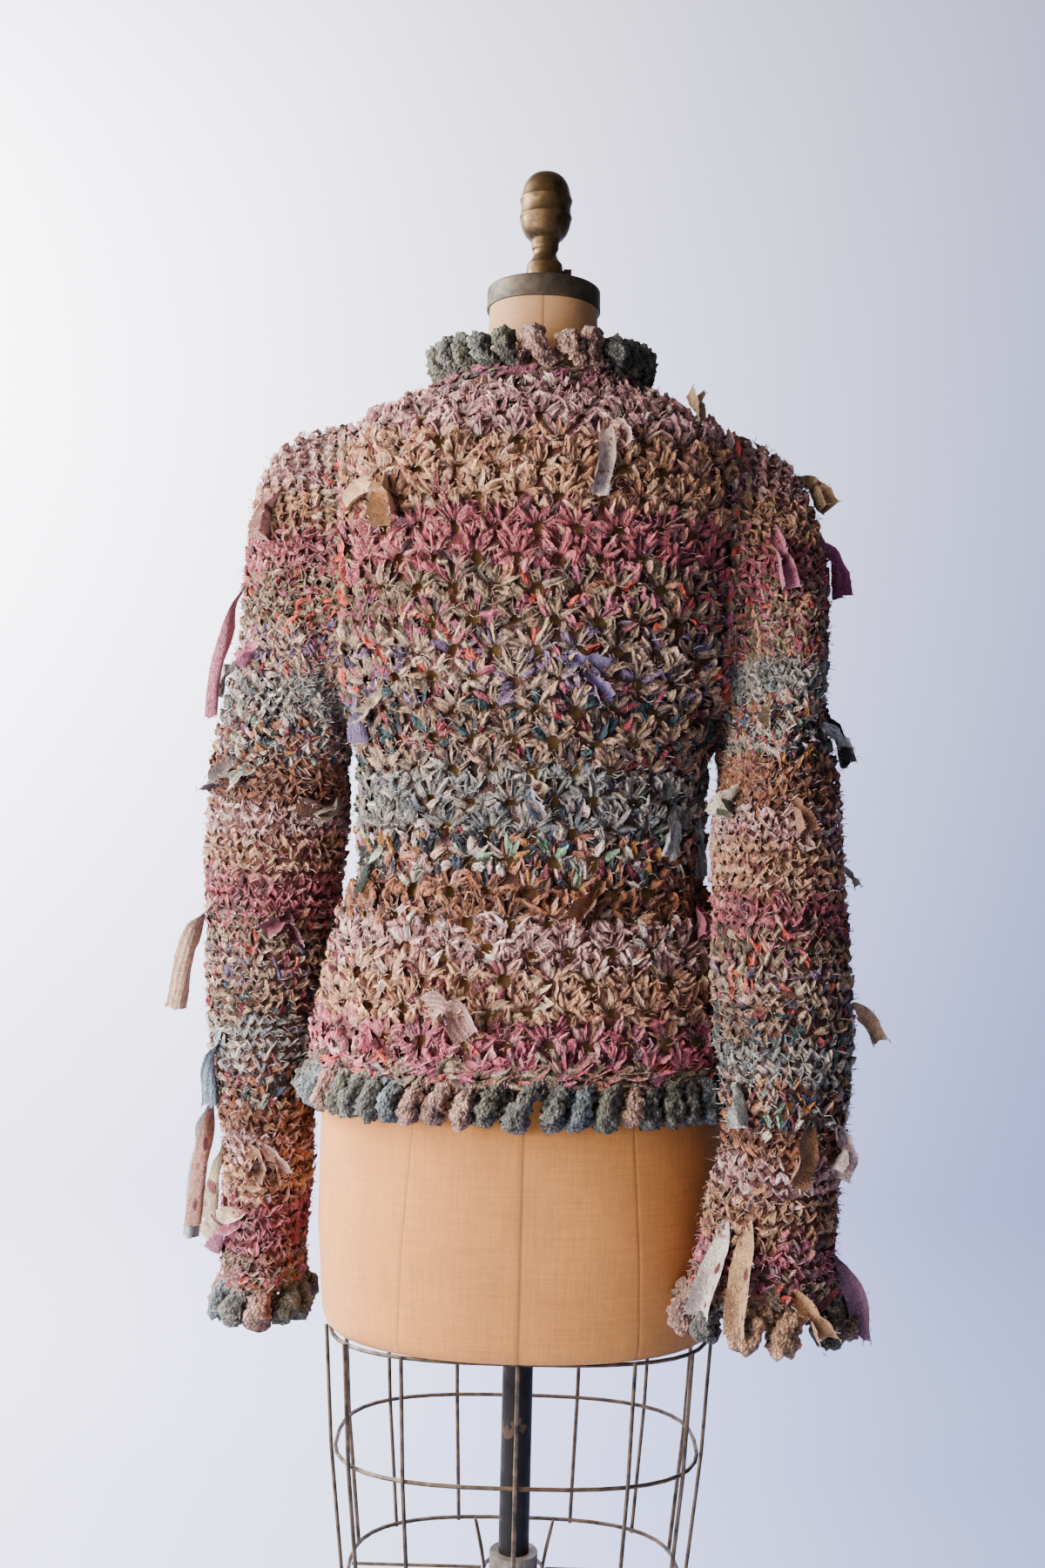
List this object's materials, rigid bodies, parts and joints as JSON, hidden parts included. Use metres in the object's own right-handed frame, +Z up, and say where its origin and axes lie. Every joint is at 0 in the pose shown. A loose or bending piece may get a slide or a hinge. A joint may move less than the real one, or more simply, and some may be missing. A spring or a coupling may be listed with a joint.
{
  "type": "rag-strip crocheted cardigan on a limbless wire-cage dress form",
  "caption": "Long-sleeved cardigan crocheted from torn rag strips, with looped trim at neck, cuffs and hem, worn by a vintage limbless dress form on a round foot.",
  "frame": {"origin": "centre of the base's underside, on the floor", "axes": "+Z up, +Y the way the wearer faces, so the back looks along -Y, +X the wearer's right"},
  "size_m": [0.5866, 0.45, 1.5928],
  "materials": {
    "rag_crochet": "rough knotted rag crochet",
    "looped_trim": "boucle loops",
    "rag_strip": "torn cotton strip",
    "form_linen": "plain linen, varnished with age",
    "aged_bronze": "aged bronze",
    "cage_wire": "tarnished wire",
    "black_paint": "chipped black paint",
    "cast_iron": "dark and smooth"
  },
  "bodies": {
    "stand": {"base": "cast_iron", "lower_tube": "cast_iron", "height_collar": "cast_iron"},
    "form": {"back": "rag_crochet", "front_left": "rag_crochet", "front_right": "rag_crochet", "sleeve_left": "rag_crochet", "sleeve_right": "rag_crochet", "neckband": "rag_crochet", "neck_ruffle": "looped_trim", "hem_ruffle_back": "looped_trim", "hem_ruffle_front_left": "looped_trim", "hem_ruffle_front_right": "looped_trim", "cuff_ruffle_left": "looped_trim", "cuff_ruffle_right": "looped_trim", "tail_cuff_pale": "rag_strip", "tail_cuff_tan": "rag_strip", "tail_cuff_mauve": "rag_strip", "tail_forearm_brown": "rag_strip", "tail_elbow_long": "rag_strip", "tail_forearm_rose": "rag_strip", "tail_forearm_blue": "rag_strip", "tail_upper_rose": "rag_strip", "tail_upper_dark": "rag_strip", "tail_waist_bow": "rag_strip", "tail_shoulder_blush": "rag_strip", "tail_shoulder_tan": "rag_strip", "tail_waist_mint": "rag_strip", "tail_waist_stripe": "rag_strip", "tail_elbow_tan": "rag_strip", "form_torso": "form_linen", "neck_cap": "aged_bronze", "finial": "aged_bronze", "set_screw": "black_paint", "column": "black_paint", "cage_ring_1": "cage_wire", "cage_ring_2": "cage_wire", "cage_ring_3": "cage_wire", "cage_wire_01": "cage_wire", "cage_wire_02": "cage_wire", "cage_wire_03": "cage_wire", "cage_wire_04": "cage_wire", "cage_wire_05": "cage_wire", "cage_wire_06": "cage_wire", "cage_wire_07": "cage_wire", "cage_wire_08": "cage_wire", "cage_wire_09": "cage_wire", "cage_wire_10": "cage_wire", "cage_wire_11": "cage_wire", "cage_wire_12": "cage_wire", "cage_wire_13": "cage_wire", "cage_hub": "cage_wire", "cage_spoke_1": "cage_wire", "cage_spoke_2": "cage_wire", "cage_spoke_3": "cage_wire", "cage_spoke_4": "cage_wire", "cage_loop_left": "cage_wire", "cage_loop_right": "cage_wire"}
  },
  "joints": [
    {"name": "column_height", "type": "slide", "parent": "stand", "child": "form", "axis": [0, 0, 1], "range_m": [0, 0.12]}
  ]
}
